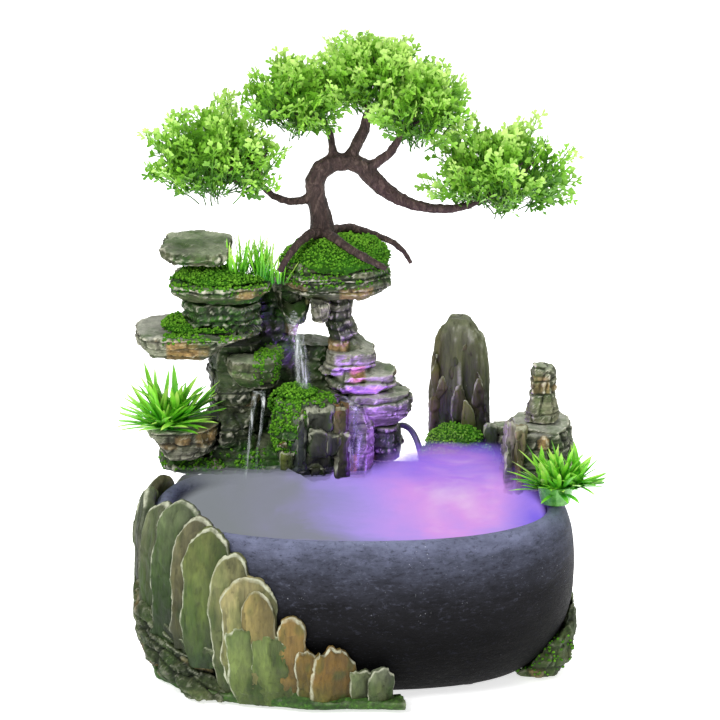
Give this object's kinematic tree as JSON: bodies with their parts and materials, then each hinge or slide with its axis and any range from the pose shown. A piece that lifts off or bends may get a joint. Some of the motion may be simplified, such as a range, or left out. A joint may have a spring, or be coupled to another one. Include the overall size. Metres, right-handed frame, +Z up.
{
  "type": "tabletop water fountain",
  "caption": "Tabletop rockery fountain: charcoal basin with standing slates, stacked rock waterfall, lift-out bonsai, moss, grass, pump and mist maker.",
  "frame": {"origin": "centre of the bounding box, measured without the lead, at the table plane", "axes": "+Z up, +X to the viewer's right, +Y to the rear"},
  "size_m": [0.2718, 0.2453, 0.3465],
  "materials": {
    "charcoal_resin": "cast resin, matt charcoal",
    "slate_resin": "cast resin slate, green grey and tan",
    "rock_resin": "cast resin rock, grey green with tan faces",
    "moss_flock": "flocked moss crumb",
    "grass_plastic": "moulded blades",
    "planter_plastic": "moulded cup",
    "leaf_plastic": "moulded sprigs",
    "bark_plastic": "bark texture",
    "pump_plastic": "satin black",
    "soft_rubber": "matt",
    "ceramic_white": "fired",
    "hose_pvc": "clear vinyl",
    "ring_brass": "plated",
    "led_lens": "diffusing lens",
    "lead_sheath": "satin sheath"
  },
  "bodies": {
    "fountain": {"pump_housing": "pump_plastic", "impeller_shaft": "ceramic_white", "pump_suction_base": "soft_rubber", "riser_hose": "hose_pvc", "mist_maker_body": "pump_plastic", "mist_maker_disc": "ceramic_white", "led_ring_lens": "led_lens", "mist_maker_gland": "soft_rubber", "lead_run": "lead_sheath", "lead_coil": "lead_sheath", "lead_plug": "soft_rubber", "basin_bowl": "charcoal_resin", "foot_pad_front_left": "soft_rubber", "foot_pad_front_right": "soft_rubber", "foot_pad_rear_left": "soft_rubber", "foot_pad_rear_right": "soft_rubber", "slate_screen": "slate_resin", "foot_rocks_left": "slate_resin", "ledge_lower_left": "rock_resin", "rockery_core": "rock_resin", "mid_rock": "rock_resin", "ledge_mid_left": "rock_resin", "ledge_upper_left": "rock_resin", "cap_rock_left": "rock_resin", "spout_upper": "rock_resin", "tree_rock": "rock_resin", "hanging_stones": "rock_resin", "column_right": "rock_resin", "ledge_right_lower": "rock_resin", "pillar_right": "rock_resin", "plunge_pool": "rock_resin", "front_boulder": "rock_resin", "chute_lower_right": "rock_resin", "peak_tall": "rock_resin", "moss_rock_right": "rock_resin", "rock_wall_right": "rock_resin", "peak_small_right": "rock_resin", "right_base_rock": "rock_resin", "planter_cup_right": "planter_plastic", "grass_upper": "grass_plastic", "grass_left": "grass_plastic", "grass_right": "grass_plastic", "moss_tree": "moss_flock", "moss_upper_ledge": "moss_flock", "moss_mid_ledge": "moss_flock", "moss_boulder": "moss_flock", "moss_right": "moss_flock"},
    "impeller": {"impeller": "pump_plastic"},
    "pump_cover": {"pump_cover": "pump_plastic"},
    "flow_regulator": {"flow_regulator": "soft_rubber"},
    "mist_ring": {"mist_maker_ring": "ring_brass"},
    "bonsai": {"bonsai_trunk": "bark_plastic", "foliage_left": "leaf_plastic", "foliage_upper_left": "leaf_plastic", "foliage_top": "leaf_plastic", "foliage_upper_right": "leaf_plastic", "foliage_right": "leaf_plastic"}
  },
  "joints": [
    {"name": "bonsai_lift", "type": "slide", "parent": "fountain", "child": "bonsai", "axis": [0, 0, 1], "range_m": [0, 0.045]},
    {"name": "impeller_spin", "type": "hinge", "parent": "fountain", "child": "impeller", "pos_m": [-0.04687, 0.01381, 0.02708], "axis": [0, 1, 0], "continuous": true},
    {"name": "pump_cover_off", "type": "slide", "parent": "fountain", "child": "pump_cover", "axis": [0, -1, 0], "range_m": [0, 0.02]},
    {"name": "flow_regulator_slide", "type": "slide", "parent": "pump_cover", "child": "flow_regulator", "axis": [1, 0, 0], "range_m": [0, 0.009]},
    {"name": "mist_ring_turn", "type": "hinge", "parent": "fountain", "child": "mist_ring", "pos_m": [0.04613, -0.01319, 0.036], "axis": [0, 0, 1], "range_deg": [0, 60]}
  ]
}
